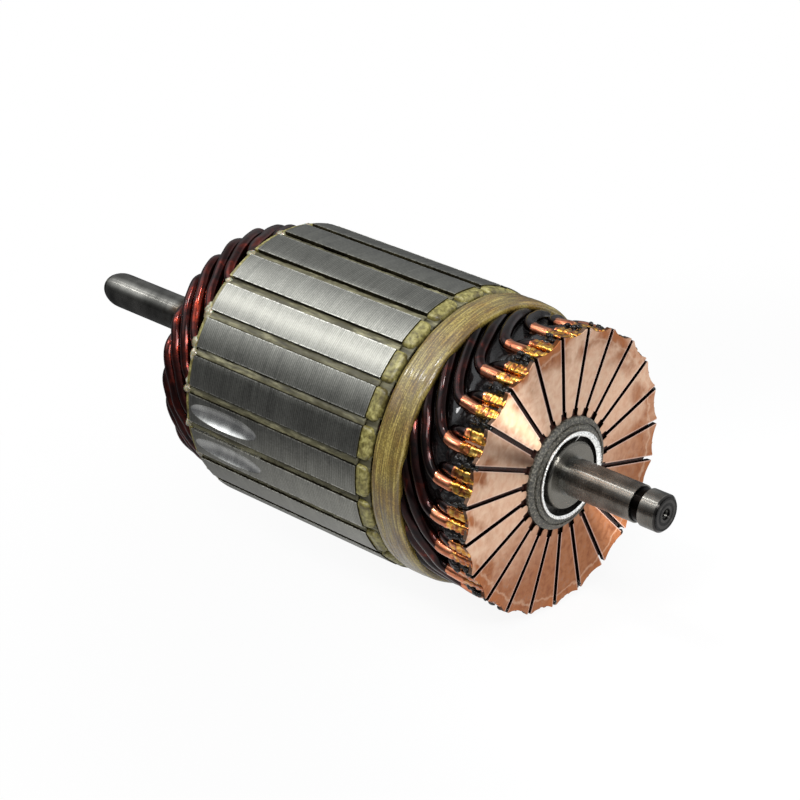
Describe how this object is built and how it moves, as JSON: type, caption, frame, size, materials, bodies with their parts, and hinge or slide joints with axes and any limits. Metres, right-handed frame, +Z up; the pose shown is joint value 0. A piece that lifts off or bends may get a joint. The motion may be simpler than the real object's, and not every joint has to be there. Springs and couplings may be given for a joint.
{
  "type": "motor armature",
  "caption": "Wound armature with a slotted steel core, hairpin coils of thick enamelled wire, a banding ring, a flat face commutator with copper bars and a ground shaft with plain journals.",
  "frame": {"origin": "on the shaft's axis, at the middle of the laminated core", "axes": "+X along the shaft's axis towards the commutator, +Z up, +Y completes the right-handed frame"},
  "size_m": [0.1619, 0.062, 0.062],
  "materials": {
    "shaft_steel": "ground and polished",
    "core_steel": "ground laminations",
    "bush_steel": "turned",
    "bar_copper": "turned copper",
    "enamelled_copper": "dark varnish over enamel",
    "moulding_resin": "moulded phenolic resin",
    "end_fibre": "pale fibre board",
    "liner_paper": "folded insulating paper",
    "band_resin": "resin-soaked glass tape"
  },
  "bodies": {
    "root": {"shaft": "shaft_steel", "core_laminations": "core_steel", "drive_end_insulator": "end_fibre", "commutator_end_insulator": "end_fibre", "slot_liners": "liner_paper", "banding_ring": "band_resin", "commutator_bush": "bush_steel", "commutator_moulding": "moulding_resin", "commutator_bar_01": "bar_copper", "commutator_bar_02": "bar_copper", "commutator_bar_03": "bar_copper", "commutator_bar_04": "bar_copper", "commutator_bar_05": "bar_copper", "commutator_bar_06": "bar_copper", "commutator_bar_07": "bar_copper", "commutator_bar_08": "bar_copper", "commutator_bar_09": "bar_copper", "commutator_bar_10": "bar_copper", "commutator_bar_11": "bar_copper", "commutator_bar_12": "bar_copper", "commutator_bar_13": "bar_copper", "commutator_bar_14": "bar_copper", "commutator_bar_15": "bar_copper", "commutator_bar_16": "bar_copper", "commutator_bar_17": "bar_copper", "commutator_bar_18": "bar_copper", "commutator_bar_19": "bar_copper", "commutator_bar_20": "bar_copper", "commutator_bar_21": "bar_copper", "commutator_bar_22": "bar_copper", "commutator_bar_23": "bar_copper", "coil_01": "enamelled_copper", "coil_02": "enamelled_copper", "coil_03": "enamelled_copper", "coil_04": "enamelled_copper", "coil_05": "enamelled_copper", "coil_06": "enamelled_copper", "coil_07": "enamelled_copper", "coil_08": "enamelled_copper", "coil_09": "enamelled_copper", "coil_10": "enamelled_copper", "coil_11": "enamelled_copper", "coil_12": "enamelled_copper", "coil_13": "enamelled_copper", "coil_14": "enamelled_copper", "coil_15": "enamelled_copper", "coil_16": "enamelled_copper", "coil_17": "enamelled_copper", "coil_18": "enamelled_copper", "coil_19": "enamelled_copper", "coil_20": "enamelled_copper", "coil_21": "enamelled_copper", "coil_22": "enamelled_copper", "coil_23": "enamelled_copper"}
  },
  "joints": []
}
